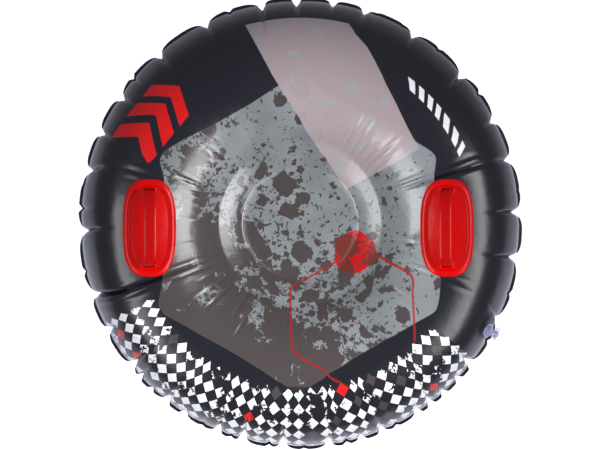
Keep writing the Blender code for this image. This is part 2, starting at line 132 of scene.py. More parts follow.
# %% [markdown]
# ## Lamps, room and floor
#
# The glow on the film shows where the lamps stood: two soft boxes, one on each side, 60 cm
# from the middle and 86 cm up, turned inwards until they face each other more than the floor.
# An area lamp is such a soft box, and its spread plays the part of the box's grid. The rest of
# the light is an even pale room, which the world gives.

# %% Lamps and room
LAMPS = {"left_soft_box": (-1, -0.30, 4.9), "right_soft_box": (1, -0.16, 6.8)}
LAMP_DISTANCE, LAMP_HEIGHT = 0.60, 0.86
LAMP_SIZE = (0.54, 0.80)
LAMP_TILT = radians(71)
LAMP_SPREAD = radians(113)
for name, (side, forward, power) in LAMPS.items():
    bpy.ops.object.light_add(type="AREA", rotation=(0, side * LAMP_TILT, 0),
                             location=(side * LAMP_DISTANCE, forward, LAMP_HEIGHT))
    lamp = bpy.context.object
    lamp.name = name
    lamp.data.shape = "RECTANGLE"
    lamp.data.size, lamp.data.size_y = LAMP_SIZE
    lamp.data.energy = power
    lamp.data.spread = LAMP_SPREAD
    lamp.visible_camera = False

ROOM_LIGHT = 0.36
world = bpy.data.worlds.new("pale_room")
bpy.context.scene.world = world
world.use_nodes = True
tree = world.node_tree
tree.nodes.clear()
path = add("LightPath")
strength = add("MapRange", {"Value": path["Is Camera Ray"], "To Min": ROOM_LIGHT, "To Max": 1.0})[0]
background = add("Background", {"Color": "#eceeff", "Strength": strength})
add("OutputWorld", {"Surface": background[0]})
print("lamps and their watts:", {name: power for name, (side, forward, power) in LAMPS.items()})

# %% [markdown]
# The floor is white paper that takes the sled's shadow. It is lit so well that it looks white,
# so it glows a little for the camera. What glossy film mirrors of it is dimmer, and dimmest
# behind the sled, where the paper runs out of the light.

# %% Floor
PAPER_GLOW = 1.15
bpy.ops.mesh.primitive_plane_add(size=14, location=(0, 0, 0))
floor = bpy.context.object
floor.name = "studio_floor"
paper, tree = blank_finish("white_paper")
path = add("LightPath")
mirrored = add("Math", (path["Is Glossy Ray"], path["Is Transmission Ray"]), operation="MAXIMUM")[0]
axes = add("SeparateXYZ", (add("TexCoord")["Object"],))
nearer = add("MapRange", {"Value": axes["Y"], "From Min": 0.46, "From Max": -0.19,
                          "To Min": 0.12, "To Max": 0.95})[0]
mirrored = add("Math", (mirrored, nearer), operation="MULTIPLY")[0]
seen = add("Math", (path["Is Camera Ray"], mirrored), operation="MAXIMUM")[0]
glow = add("Math", (seen, PAPER_GLOW), operation="MULTIPLY")[0]
coat([floor], paper, {"Base Color": "#f4f4f4", "Roughness": 0.9, "Emission Color": "#e9ebff",
                      "Emission Strength": glow})

# %% [markdown]
# ## The shape that air gives the film
#
# Film can pull along the ring's section, but round the ring it only folds. That fixes the
# curve: the film's slope grows with the square of the distance from the middle. The rim, the
# tied crease and the height of the strip inside are known, so the crown's radius is found
# by halving an interval until the film meets the strip.

# %% The section
RIM = 0.466
CREASE = 0.171
SEAT = 0.120
STRIP = 0.064
WELD_GAP = 0.0003
FLATTENED = 0.0005
LOWER_SHEET = 0.0009
UPPER_SHEET = 0.0006


def blown_curve(crown):
    """Slopes, radii, heights and lengths of film along the ring's section."""
    spread = RIM ** 2 - crown ** 2
    start = asin((CREASE ** 2 - crown ** 2) / spread)
    slopes = np.linspace(start, pi / 2, 600)
    radii = np.sqrt(crown ** 2 + spread * np.sin(slopes))
    film = (slopes[1] - slopes[0]) * spread / (2 * radii)
    rise = film * np.sin(slopes)
    lengths = np.append(0, np.cumsum((film[1:] + film[:-1]) / 2))
    drop = np.append(0, np.cumsum((rise[1:] + rise[:-1]) / 2))
    return slopes, radii, drop[-1] - drop, lengths


low = CREASE
high = sqrt((RIM ** 2 + CREASE ** 2) / 2)
for _ in range(40):
    crown = (low + high) / 2
    if blown_curve(crown)[2][0] < STRIP / 2:
        high = crown
    else:
        low = crown
SLOPES, RADII, HEIGHTS, LENGTHS = blown_curve(crown)
MIDDLE = HEIGHTS.max() - FLATTENED + LOWER_SHEET + WELD_GAP / 2
print("crown radius", round(crown, 4), "ring height", round(2 * HEIGHTS.max(), 4))

# %% [markdown]
# ## Where the rim folds
#
# Blown up, the rim is a fifth shorter than it was flat. The spare length goes into folds, and
# between two folds the film stands out as a puff. The large folds are those of the solid
# model. Small ones lie between them. Each large fold fades out towards the crown, and the
# four that run into the ends of the stiff handles go on over the crown as long creases.

# %% Folds
# each kind of large fold: its depth, the film's slope where it starts, and where it meets the rim
LARGE_KINDS = ((0.0265, 10, (3, 182, 199, 220, 255, 265.5, 320.5, 351)),
               (0.0200, 26, (17, 28, 42.5, 59, 91, 100, 115.5, 130, 145, 155.5, 166, 209, 233,
                             248.3, 277.5, 302, 306, 334)),
               (0.0125, 40, (73, 81.5, 238.5, 286, 291.5, 310.3, 315.5)))
LARGE_FOLDS, LARGE_DEPTHS, LARGE_STARTS = np.array(sorted(
    (azimuth, depth, start) for depth, start, folds in LARGE_KINDS for azimuth in folds)).T
SMALL_FOLDS = {8.5: 0.0015, 36: 0.006, 51.5: 0.0035, 62.5: 0.0015, 70: 0.0015, 108.5: 0.0055,
               139: 0.007, 169.5: 0.0015, 176: 0.008, 192.5: 0.0055, 223.7: 0.016, 228: 0.010,
               244: 0.003, 252: 0.004, 262: 0.006, 271: 0.003, 282: 0.006, 295.5: 0.005,
               328: 0.005, 341.5: 0.004}
# over the crown: its azimuth there, its depth, and the slopes where it ends
LONG_CREASES = {17: (18.3, 0.0044, -42, 30), 166: (162.4, 0.0020, -30, 20),
                199: (201.2, 0.0052, -44, 76), 334: (338.4, 0.0024, -32, 20)}
CLEFT_SHARE, DIP_SHARE = 0.60, 0.40  # what the cleft and the dip beside it give of the depth
CREASE_FADES = (26, 24)  # degrees of slope over which a long crease starts and ends
CREASE_EDGE = 1.15  # degrees of azimuth from its line to its edge
BESIDE_CREASE = (2.9, 1.0, 0.40)  # a second one: degrees away, half its width, share of the depth
CREASE_SHOULDER = (1.9, 0.75, 0.26)  # where the film stands up between and beside them
SEAM_WAVE = 0.003
FLANGE = (0.0085, 0.0012)  # its width beside a puff, and at a fold
HELD_IN = 0.0044  # the small folds together pull the rim in by this
OVAL = 0.0040  # the stiff handles hold the ring in, so it is wider from front to back


def fade(values, start, end):
    """0 at start, 1 at end, with a soft step between them."""
    t = np.clip((values - start) / (end - start), 0, 1)
    return t * t * (3 - 2 * t)


def apart(azimuth, start):
    """Degrees from one azimuth to another, from -180 to 180."""
    return (azimuth - start + 180) % 360 - 180


def fold_lines():
    """Each fold line's azimuth at the rim and over the crown, in degrees, in order round the rim."""
    lines = []
    for azimuth in sorted([*LARGE_FOLDS, *SMALL_FOLDS]):
        drifted = azimuth + 0.9 * sin(5.1 * azimuth)
        lines.append((azimuth, LONG_CREASES.get(azimuth, (drifted,))[0]))
    return lines


def beside_folds(azimuth):
    """The large fold nearest to each azimuth, the degrees to it, and 1 at a fold to 0 mid puff."""
    index = np.searchsorted(LARGE_FOLDS, azimuth, side="right") - 1
    after = (index + 1) % len(LARGE_FOLDS)
    width = (LARGE_FOLDS[after] - LARGE_FOLDS[index]) % 360
    along = ((azimuth - LARGE_FOLDS[index]) % 360) / width
    nearest = np.where(along < 0.5, index, after)
    return nearest, np.minimum(along, 1 - along) * width, np.abs(2 * along - 1)


def large_fold_depths(azimuth, slope):
    """How far the large folds pull the film in: a narrow cleft in a wide shallow dip."""
    nearest, away, near = beside_folds(azimuth)
    start = np.radians(LARGE_STARTS[nearest]) * (1 + 0.35 * np.sin(3.7 * nearest))
    share = np.clip((slope - start) / (pi / 2 - start), 0, 1)
    cleft = np.clip(1 - away / (0.55 + 0.60 * share), 0, 1) ** 0.9
    dip = np.clip(1 - (1 - near) / (0.25 + 0.75 * share), 0, 1) ** 4
    return LARGE_DEPTHS[nearest] * (CLEFT_SHARE * cleft * share ** 1.5
                                    + DIP_SHARE * dip * share ** 1.4)


def seam_rise(azimuth):
    """The rim weld zigzags up at one large fold and down at the next."""
    nearest, _, near = beside_folds(azimuth)
    sign = 1 - 2 * (nearest % 2)
    return SEAM_WAVE * sign * near ** 3, near ** 4


print(len(LARGE_FOLDS), "large folds and", len(SMALL_FOLDS), "small ones")

# %% [markdown]
# ## Turning a shape from a circle
#
# Most pieces here are round. A circle is added at its size, and then it is pulled out ring
# by ring with extrude, resize and move, as one would do by hand in edit mode. This gives even
# rows of four-sided faces, which bend well when the film is laid over the curve of the ring.


# %% A helper that turns a shape
def pick(piece=None):
    """Leaves edit mode and selects one piece alone, or nothing."""
    if bpy.context.object and bpy.context.object.mode != "OBJECT":
        bpy.ops.object.mode_set(mode="OBJECT")
    bpy.ops.object.select_all(action="DESELECT")
    if piece:
        piece.select_set(True)
        bpy.context.view_layer.objects.active = piece


def smooth(piece, angle):
    """Shades a piece smooth, but keeps the edges that are sharper than this, in degrees."""
    pick(piece)
    bpy.ops.object.shade_smooth_by_angle(angle=radians(angle))


def face_outwards(piece):
    """Turns all the faces of a closed mesh outwards."""
    pick(piece)
    bpy.ops.object.mode_set(mode="EDIT")
    bpy.ops.mesh.select_all(action="SELECT")
    bpy.ops.mesh.normals_make_consistent(inside=False)
    bpy.ops.object.mode_set(mode="OBJECT")


def turn(name, profile, sides):
    """Turns (radius, height) points round the Z axis. An end at radius 0 is closed with a face."""
    pick()
    points = [p for p in profile if p[0] > 0]
    radius, height = points[0]
    bpy.ops.mesh.primitive_circle_add(vertices=sides, radius=radius, location=(0, 0, height))
    piece = bpy.context.object
    piece.name = name
    piece.data.name = name
    bpy.ops.object.transform_apply(location=True)
    bpy.ops.object.mode_set(mode="EDIT")
    bpy.ops.mesh.select_all(action="SELECT")
    if profile[0][0] == 0:
        bpy.ops.mesh.edge_face_add()
        bpy.ops.mesh.select_all(action="SELECT")
    bpy.ops.mesh.select_mode(type="EDGE")
    for last, new in zip(points, points[1:]):
        bpy.ops.mesh.extrude_edges_move()
        scale = new[0] / last[0]
        bpy.ops.transform.resize(value=(scale, scale, 1), center_override=(0, 0, 0))
        bpy.ops.transform.translate(value=(0, 0, new[1] - last[1]))
    if profile[-1][0] == 0:
        bpy.ops.mesh.edge_face_add()
    bpy.ops.mesh.select_all(action="SELECT")
    bpy.ops.mesh.remove_doubles(threshold=0.00001)
    bpy.ops.mesh.normals_make_consistent(inside=False)
    bpy.ops.object.mode_set(mode="OBJECT")
    return piece


def points_of(piece):
    """A mesh's points as an array."""
    found = np.empty(len(piece.data.vertices) * 3)
    piece.data.vertices.foreach_get("co", found)
    return found.reshape(-1, 3)


def round_the_axis(points):
    """How far points lie from the Z axis, and their angles round it."""
    return np.hypot(points[:, 0], points[:, 1]), np.arctan2(points[:, 1], points[:, 0])


def polar(radius, angle, *height):
    """Points at these radii and angles round the Z axis, and at these heights if any are given."""
    return np.column_stack((radius * np.cos(angle), radius * np.sin(angle), *height))


def move_points(piece, places):
    """Puts a mesh's points somewhere else."""
    piece.data.vertices.foreach_set("co", np.asarray(places, float).ravel())
    piece.data.update()


# %% [markdown]
# ## The two films
#
# A film is cut flat, so it starts as a flat disc with one ring of points for each station
# along the section and one column for each step round the rim. The columns follow the fold
# lines, which keeps the folds crisp. The flat disc's own coordinates stay as its UV map, and
# the print is laid out on it in metres, as the factory prints the sheet before it is welded.
# Then the air comes in: each point moves to its place on the blown-up curve, and the folds
# pull it in at right angles to the film. This follows the solid model closely, where a cloth
# simulation would put the folds in other places than the photograph shows.

# %% Stations and columns
BAND_TURN = radians(15)
HEM = (0.006, 0.001, 0.005)  # flat lengths: out to the cut edge, over it, and back to the weld


def stations(ring_steps, slope_steps, band_steps, seat_steps):
    """The flat radius, radius, height and slope of each ring of a film, from the seat out."""
    rows = [(SEAT * i / seat_steps, SEAT * i / seat_steps, 0, 0) for i in range(1, seat_steps + 1)]
    chord = Vector((CREASE - SEAT, STRIP / 2))
    tilt = atan2(chord.y, chord.x)
    reach = chord.length / (2 * sin(BAND_TURN / 2))
    band = BAND_TURN / 2 / sin(BAND_TURN / 2) * chord.length
    for i in range(1, band_steps):
        bend = BAND_TURN * (i / band_steps - 0.5)
        bulge = reach * (cos(bend) - cos(BAND_TURN / 2))
        along = chord.length / 2 + reach * sin(bend)
        rows.append((SEAT + band * i / band_steps, SEAT + along * cos(tilt) - bulge * sin(tilt),
                     along * sin(tilt) + bulge * cos(tilt), bend - tilt))
    inner = np.linspace(SLOPES[0], 0, slope_steps, endpoint=False)
    for slope in (*inner, *np.linspace(0, pi / 2, ring_steps)):
        flat = SEAT + band + np.interp(slope, SLOPES, LENGTHS)
        rows.append((flat, np.interp(slope, SLOPES, RADII), np.interp(slope, SLOPES, HEIGHTS), slope))
    for extra in HEM:
        rows.append((rows[-1][0] + extra, RIM, 0, pi / 2))
    return np.array(rows)


def columns(per_puff):
    """Each column's azimuth at the rim and over the crown, in degrees."""
    lines = fold_lines()
    rim, over = [], []
    for i, (start, start_over) in enumerate(lines):
        end, end_over = lines[(i + 1) % len(lines)]
        for k in range(per_puff):
            t = k / per_puff
            share = t - 0.07 * sin(tau * t)
            rim.append(start + share * ((end - start) % 360))
            over.append(start_over + share * ((end_over - start_over) % 360))
    return np.array(rim), np.array(over)


rows = stations(ring_steps=42, slope_steps=26, band_steps=10, seat_steps=6)
print(len(rows), "rings; flat radius", round(rows[-len(HEM), 0], 3), "m at the sheet's edge")


# %% The folds as depths
def fold_depths(rim, over, slope, side):
    """How far every fold pulls the film in, and the azimuth of each point, in degrees."""
    to_crown = 1 - fade(slope, radians(5), radians(80))
    azimuth = rim + apart(over, rim) * to_crown
    depth = large_fold_depths(rim % 360, slope)
    for number, (start, size) in enumerate(SMALL_FOLDS.items()):
        away = np.abs(apart(rim, start))
        up = fade(slope, radians(46 + 12 * sin(3 * number)), pi / 2)
        depth += size * up * np.clip(1 - away / (0.5 + 0.6 * up), 0, 1)
    rim_in = HELD_IN + OVAL * np.cos(2 * np.radians(azimuth))
    depth += rim_in * fade(slope, 0.3, pi / 2)
    if side > 0:
        for start, (end, size, inner_end, outer_end) in LONG_CREASES.items():
            line = start + (end - start) * to_crown
            sideways = apart(azimuth, line)
            away = np.abs(sideways)
            along = fade(slope, radians(inner_end), radians(inner_end + CREASE_FADES[0]))
            along *= 1 - fade(slope, radians(outer_end - CREASE_FADES[1]), radians(outer_end))
            groove = np.clip(1 - away / CREASE_EDGE, 0, 1) ** 1.2
            place, width, second = BESIDE_CREASE
            beside = np.clip(1 - np.abs(sideways - place) / width, 0, 1) ** 1.3
            place, width, proud = CREASE_SHOULDER
            shoulder = np.exp(-((away - place) / width) ** 2)
            depth += size * along * (groove + second * beside - proud * shoulder)
    return depth, azimuth


# %% [markdown]
# The film is too wide for the seat's slope as well. There it gathers in fine straight
# wrinkles that point at the middle, some bunched together and some alone.

# %% Wrinkles on the seat's slope
WRINKLES = {22: 1.0, 27: 0.7, 31: 1.1, 36.5: 0.8, 41: 1.2, 45: 0.6, 50: 1.0, 55: 0.9, 60.5: 0.7,
            78: 0.4, 97: 0.4, 121: 0.5, 141: 0.6, 147: 0.9, 152.5: 0.7, 159: 1.0, 164: 1.2,
            168: 0.8, 176: 0.35, 188: 0.4, 205: 1.0, 210: 0.8, 216: 1.1, 222: 0.9, 228: 0.8,
            234: 1.0, 240: 0.7, 262: 0.4, 285: 0.5, 308: 0.6, 325: 0.5, 350: 0.6}
WRINKLE_DEPTH = 0.0016
WRINKLE_WIDTH = 0.75
WRINKLE_SHOULDER = (1.7, 0.9, 0.5)  # degrees away, width, and share of the depth


def wrinkle_depths(azimuth, slope):
    """How deep the wrinkles are, each one fading out at its own height."""
    depth = np.zeros_like(azimuth)
    for number, (middle, size) in enumerate(WRINKLES.items()):
        away = np.abs(apart(azimuth, middle))
        top = radians(-14 - 16 * abs(sin(2.3 * number)))
        along = fade(slope, SLOPES[0] - 0.02, SLOPES[0] + 0.15) * (1 - fade(slope, top - 0.3, top))
        place, width, proud = WRINKLE_SHOULDER
        shoulder = proud * np.exp(-((away - place) / width) ** 2)
        depth += WRINKLE_DEPTH * size * along * (np.exp(-(away / WRINKLE_WIDTH) ** 2) - shoulder)
    return depth


# %% Cut a film flat and blow it up
VALVE_AZIMUTH = radians(-29.6)
VALVE_SLOPE = radians(53)
CALM_AT_VALVE = (0.016, 0.032)  # the folds start this far from the valve
PAST_CREASE = SEAT + 0.061  # on the flat sheet


def film(name, side, sheet, rows, per_puff):
    """One film: a flat disc whose points move to the blown-up shape. Side is 1 up or -1 down."""
    rim, over = columns(per_puff)
    piece = turn(name, [(0, 0)] + [(row[0], 0) for row in rows], len(rim))
    reach, angle = round_the_axis(points_of(piece))
    ring = np.abs(reach[:, None] - rows[:, 0]).argmin(axis=1)
    column = np.round(angle / tau * len(rim)).astype(int) % len(rim)
    rim, over = rim[column], over[column]
    flat, radius, height, slope = rows[ring].T
    layout = polar(flat, np.radians(rim))
    depth, azimuth = fold_depths(rim, over, slope, side)
    if side > 0:
        depth += wrinkle_depths(azimuth, slope)
    depth = np.where(flat > PAST_CREASE, depth, 0)
    if side > 0:
        beside = np.radians(apart(rim, degrees(VALVE_AZIMUTH)))
        below = np.interp(slope, SLOPES, LENGTHS) - np.interp(VALVE_SLOPE, SLOPES, LENGTHS)
        depth *= fade(np.hypot(beside * radius, below), *CALM_AT_VALVE)
    rise, near = seam_rise(rim % 360)
    radius = radius + np.sin(slope) * (sheet - depth) * (radius > SEAT)
    height = height + np.cos(slope) * (sheet - depth)
    if side < 0:
        height = np.minimum(height, HEIGHTS.max() - FLATTENED + LOWER_SHEET)
    edge = len(rows) - len(HEM)
    flange = FLANGE[0] + (FLANGE[1] - FLANGE[0]) * near
    weld = RIM - depth
    radius = np.where(ring >= edge, weld + flange, radius)
    radius = np.where(ring == edge + 2, weld, radius)
    height = np.where(ring >= edge - 1, sheet, height)
    height = np.where(ring > edge, 0, height)
    rise = rise * fade(slope, radians(20), pi / 2) ** 2
    move_points(piece, polar(radius, np.radians(azimuth),
                             MIDDLE + side * (height + WELD_GAP / 2) + rise))
    uv = piece.data.uv_layers.new(name="flat_sheet")
    corners = np.empty(len(piece.data.loops), int)
    piece.data.loops.foreach_get("vertex_index", corners)
    uv.data.foreach_set("uv", layout[corners].ravel())
    if side < 0:
        piece.data.flip_normals()
    return piece


upper = film("printed_film", 1, UPPER_SHEET, rows, per_puff=16)
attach(upper, "sled")
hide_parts("upper_film")
print("upper film:", len(upper.data.polygons), "faces")

lower_rows = stations(ring_steps=30, slope_steps=14, band_steps=6, seat_steps=4)
lower = film("runner_film", -1, LOWER_SHEET, lower_rows, per_puff=10)
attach(lower, "sled")
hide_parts("lower_film")
print("lower film:", len(lower.data.polygons), "faces")

# %% A round hole for the valve
VALVE_ORIGIN = np.array((0.385252, -0.218854, 0.190853))
VALVE_AXES = np.array(((0.493942, 0.869495, 0), (-0.523275, 0.297262, 0.798635),
                       (0.694409, -0.394480, 0.601815)))
VALVE_HOLE = 0.0103
NEAR_VALVE = 0.02


def in_valve_frame(places):
    """Points as (along the rim, up the film, outwards) from the valve's middle."""
    return (np.asarray(places) - VALVE_ORIGIN) @ VALVE_AXES.T


pick(upper)
local = in_valve_frame(points_of(upper))
inside = (np.hypot(local[:, 0], local[:, 1]) < VALVE_HOLE) & (local[:, 2] > -NEAR_VALVE)
bpy.ops.object.mode_set(mode="EDIT")
bpy.ops.mesh.select_mode(type="VERT")
bpy.ops.mesh.select_all(action="DESELECT")
bpy.ops.object.mode_set(mode="OBJECT")
upper.data.vertices.foreach_set("select", inside)
bpy.ops.object.mode_set(mode="EDIT")
bpy.ops.mesh.delete(type="VERT")
bpy.ops.mesh.select_non_manifold(extend=False, use_boundary=True)
bpy.ops.object.mode_set(mode="OBJECT")
places = points_of(upper)
local = in_valve_frame(places)
reach = np.hypot(local[:, 0], local[:, 1])
edge = (np.array([v.select for v in upper.data.vertices]) & (reach < NEAR_VALVE)
        & (local[:, 2] > -NEAR_VALVE))
local[edge, :2] *= (VALVE_HOLE / reach[edge])[:, None]
places[edge] = local[edge] @ VALVE_AXES + VALVE_ORIGIN
move_points(upper, places)
print("hole edge:", int(edge.sum()), "points")

# %% Smooth the films but keep their creases
for piece in (upper, lower):
    smooth(piece, angle=55)

# %% [markdown]
# ## The sheets as they were cut
#
# Both films are cut as flat discs and stretched by the air. The disc is 1.15 m across, and the
# blown-up sled is 0.94 m.

# %% [markdown]
# ## The grab handles
#
# A handle is one soft moulding: an oval base that is welded to the film and bends with it, a
# fat rounded rim, a shallow recess, and a flat grip bar that arches over the recess. The base
# is turned as a circle, squared off to the oval and laid on the ring. The bar is turned as a
# rod and bent along the arch. A voxel remesh then makes one skin of the two, and some
# smoothing leaves the small fillets that a mould has.

# %% Sizes of a handle
HANDLE_CENTRES = {"left": (-0.305, -0.009), "right": (0.297, -0.009)}
HANDLE_OUTSIDE = (0.106, 0.198)
HANDLE_RECESS = (0.074, 0.163)
RECESS_SHARE = 0.7
HANDLE_SQUARENESS = 2.9
HANDLE_SHEET = 0.0025
LIP_RISE = 0.0036
LIP_CURVES = (1.5, 0.55)  # soft towards the recess, steep outside
EDGE_THINNING = 0.6  # share of the sheet's thickness that its edge lacks
GRIP = {"width": 0.026, "thickness": 0.011, "length": 0.150, "gap": 0.024, "squareness": 3.6}
ARCH_SQUARENESS = 3.0


def squared(angle, squareness):
    """A point on a unit circle that is pushed out towards a square."""
    power = 2 / squareness
    cosine, sine = np.cos(angle), np.sin(angle)
    return (np.copysign(np.abs(cosine) ** power, cosine), np.copysign(np.abs(sine) ** power, sine))


def on_film(x, y, above):
    """Points that lie this far off the upper film's outside, at right angles to it."""
    radius = np.hypot(x, y)
    slope = np.interp(radius, RADII, SLOPES)
    height = MIDDLE + WELD_GAP / 2 + np.interp(radius, RADII, HEIGHTS)
    height = height + UPPER_SHEET / np.cos(slope)
    out = np.sin(slope) * above / radius
    return np.column_stack((x + x * out, y + y * out, height + np.cos(slope) * above))


# %% The oval base
def handle_base(name, centre):
    """The base of a handle, laid on the film round its centre."""
    profile = [(RECESS_SHARE * i / 12, HANDLE_SHEET) for i in range(12)]
    for i in range(17):
        along = i / 16
        lift = sin(pi * along) ** LIP_CURVES[along >= 0.5]
        profile.append((RECESS_SHARE + (1 - RECESS_SHARE) * along,
                        HANDLE_SHEET * (1 - along * EDGE_THINNING) + LIP_RISE * lift))
    profile += [(1 - 0.99 * i / 14, WELD_GAP) for i in range(15)] + [(0, WELD_GAP)]
    base = turn(name, profile, 112)
    points = points_of(base)
    share, angle = round_the_axis(points)
    aside, along = squared(angle, HANDLE_SQUARENESS)
    over_lip = np.clip((share - RECESS_SHARE) / (1 - RECESS_SHARE), 0, 1)
    half = [np.where(share < RECESS_SHARE, share / RECESS_SHARE * recess,
                     recess + (outside - recess) * over_lip) / 2
            for recess, outside in zip(HANDLE_RECESS, HANDLE_OUTSIDE)]
    move_points(base, on_film(centre[0] + aside * half[0], centre[1] + along * half[1], points[:, 2]))
    return base


# %% The grip bar
def round_a_line(points, line, ahead, section):
    """Lays the points of a rod round a line in one plane: how far aside, along and up they are."""
    ahead = ahead / np.linalg.norm(ahead, axis=1)[:, None]
    share, angle = round_the_axis(points)
    side, out = squared(angle, section["squareness"])
    how_high = out * share * section["thickness"] / 2
    return (side * share * section["width"] / 2, line[:, 0] - ahead[:, 1] * how_high,
            line[:, 1] + ahead[:, 0] * how_high)


def grip_bar(name, centre):
    """A flat bar in an arch whose feet stand upright in the base."""
    steps = 56
    bar = turn(name, [(0, 0)] + [(1, i / steps) for i in range(steps + 1)] + [(0, 1)], 48)
    points = points_of(bar)
    foot = on_film(*centre, 0)[0]
    normal = on_film(*centre, 1)[0] - foot
    across = np.cross((0, 1, 0), normal)
    across /= np.linalg.norm(across)
    lengthwise = np.cross(normal, across)
    drop = (on_film(centre[0], centre[1] + GRIP["length"] / 2, 0)[0] - foot) @ normal
    top = HANDLE_SHEET + GRIP["gap"] + GRIP["thickness"] / 2
    base = drop + HANDLE_SHEET / 2

    def arch(t):
        back, up = squared(pi * t, ARCH_SQUARENESS)
        return np.column_stack((-back * GRIP["length"] / 2, base + (top - base) * np.abs(up)))

    t = np.clip(points[:, 2], 0, 1)
    ahead = arch(np.clip(t + 0.002, 0, 1)) - arch(np.clip(t - 0.002, 0, 1))
    wide, along, up = (part[:, None] for part in round_a_line(points, arch(t), ahead, GRIP))
    move_points(bar, foot + wide * across + along * lengthwise + up * normal)
    face_outwards(bar)
    return bar


# %% One skin
def one_skin(piece, others, voxel, rounds):
    """Joins closed shapes, remeshes them as one skin and smooths the joints."""
    pick(piece)
    for other in others:
        other.select_set(True)
    bpy.ops.object.join()
    piece.data.remesh_voxel_size = voxel
    bpy.ops.object.voxel_remesh()
    fillets = piece.modifiers.new("mould_fillets", "SMOOTH")
    fillets.factor = 0.5
    fillets.iterations = rounds
    bpy.ops.object.modifier_apply(modifier=fillets.name)
    bpy.ops.object.shade_smooth()


handles = []
for side_name, centre in HANDLE_CENTRES.items():
    piece = handle_base(side_name + "_grab_handle", centre)
    one_skin(piece, [grip_bar(side_name + "_grip_bar", centre)], voxel=0.00095, rounds=9)
    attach(piece, "sled")
    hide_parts(side_name + "_handle")
    places = points_of(piece)
    above = places[:, 2] - on_film(places[:, 0], places[:, 1], 0)[:, 2]
    piece.data.attributes.new("above_film", "FLOAT", "POINT").data.foreach_set("value", above)
    handles.append(piece)
    print(piece.name, len(piece.data.polygons), "faces",
          [round(v, 4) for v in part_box(side_name + "_handle")[0]],
          [round(v, 4) for v in points_of(piece).min(axis=0)])

# %% [markdown]
# ## The valve
#
# The valve is of clear soft vinyl. A thin flange is welded round the hole in the film, and a
# collar on it guides a ribbed stem. A stopper fits the stem's bore. It hangs on a strap from
# a ring round the stem's neck, and a small ring-shaped tab pulls it out. The turned pieces
# are made upright at the middle, and then moved to the slope of the film.


# %% The valve's base and stem
def at_valve(piece):
    """Moves a piece from the middle to the valve, its Z axis along the valve's."""
    move_points(piece, points_of(piece) @ VALVE_AXES + VALVE_ORIGIN)
    return piece


def film_rise(x, y):
    """How far the film's outside rises along the valve's axis beside the valve."""
    slope = np.full(len(x), VALVE_SLOPE)
    azimuth = np.full(len(x), VALVE_AZIMUTH)
    spread = RIM ** 2 - crown ** 2
    for _ in range(8):
        radius = np.interp(slope, SLOPES, RADII) + np.sin(slope) * UPPER_SHEET
        height = MIDDLE + WELD_GAP / 2 + np.interp(slope, SLOPES, HEIGHTS)
        found = in_valve_frame(polar(radius, azimuth, height + np.cos(slope) * UPPER_SHEET))
        azimuth = azimuth + (x - found[:, 0]) / radius
        slope = slope - (y - found[:, 1]) * 2 * radius / (spread * np.cos(slope))
    return found[:, 2]


def rounded(corner, before, after, size):
    """Points that round off one corner of a profile."""
    corner = np.array(corner, float)
    start, end = (corner + (p - corner) / np.linalg.norm(p - corner) * size for p in (before, after))
    t = np.linspace(0, 1, 5)[:, None]
    return [tuple(p) for p in (1 - t) ** 2 * start + 2 * t * (1 - t) * corner + t ** 2 * end]


def rounded_profile(corners, size):
    """A closed (radius, height) outline with every corner rounded off, as a list of points."""
    found = []
    for i, corner in enumerate(corners):
        found += rounded(corner, corners[i - 1], corners[(i + 1) % len(corners)], size)
    return found + found[:1]


PLAY = 0.0003
STEM_BORE = 0.0032
STEM_OUTSIDE = 0.0068
STEM_RIB = 0.0009
STEM_TOP = 0.0215
COLLAR_BORE = STEM_OUTSIDE + STEM_RIB + PLAY
COLLAR_OUTSIDE = COLLAR_BORE + 0.0020
COLLAR_TOP = 0.0035
COLLAR_BOTTOM = -0.0040
FLANGE_RADIUS = 0.0150
FLANGE_TOP = WELD_GAP + 0.0012
valve_base = turn("valve_collar", rounded_profile(
    [(COLLAR_BORE, COLLAR_TOP), (COLLAR_OUTSIDE, COLLAR_TOP), (COLLAR_OUTSIDE, FLANGE_TOP),
     ((COLLAR_OUTSIDE + FLANGE_RADIUS) / 2, FLANGE_TOP), (FLANGE_RADIUS, FLANGE_TOP),
     (FLANGE_RADIUS, WELD_GAP), (COLLAR_OUTSIDE, WELD_GAP), (COLLAR_OUTSIDE, COLLAR_BOTTOM),
     (COLLAR_BORE, COLLAR_BOTTOM)], 0.00045), 72)
places = points_of(valve_base)
on_flange = ((round_the_axis(places)[0] > COLLAR_OUTSIDE - 0.0005)
             & (places[:, 2] > -0.001) & (places[:, 2] < 0.0021))
places[on_flange, 2] += film_rise(places[on_flange, 0], places[on_flange, 1])
move_points(valve_base, places)
at_valve(valve_base)

STEM_LIP = 0.0010
STEM_BOTTOM = COLLAR_BOTTOM - PLAY - STEM_LIP
STEM_NECK = 0.0065
RIB_PITCH = 0.0036
RIB_SHARE = 0.78  # of the pitch
stem_profile = rounded((STEM_BORE, STEM_TOP), (STEM_BORE, 0), (STEM_OUTSIDE, STEM_TOP), 0.0004)
stem_profile += rounded((STEM_OUTSIDE, STEM_TOP), (STEM_BORE, STEM_TOP), (STEM_OUTSIDE, 0), 0.0009)
level = STEM_TOP - STEM_NECK
while level - RIB_PITCH > COLLAR_TOP:
    for i in range(9):
        t = i / 8
        bulge = STEM_RIB * sin(pi * t) ** 0.8
        stem_profile.append((STEM_OUTSIDE + bulge, level - RIB_PITCH * RIB_SHARE * t))
    level -= RIB_PITCH
lip_radius = COLLAR_BORE + STEM_LIP
lip_top = STEM_BOTTOM + STEM_LIP
stem_profile += [(STEM_OUTSIDE, lip_top), (lip_radius, lip_top), (lip_radius, STEM_BOTTOM),
                 (STEM_BORE, STEM_BOTTOM), stem_profile[0]]
valve_stem = at_valve(turn("ribbed_valve_stem", stem_profile, 64))
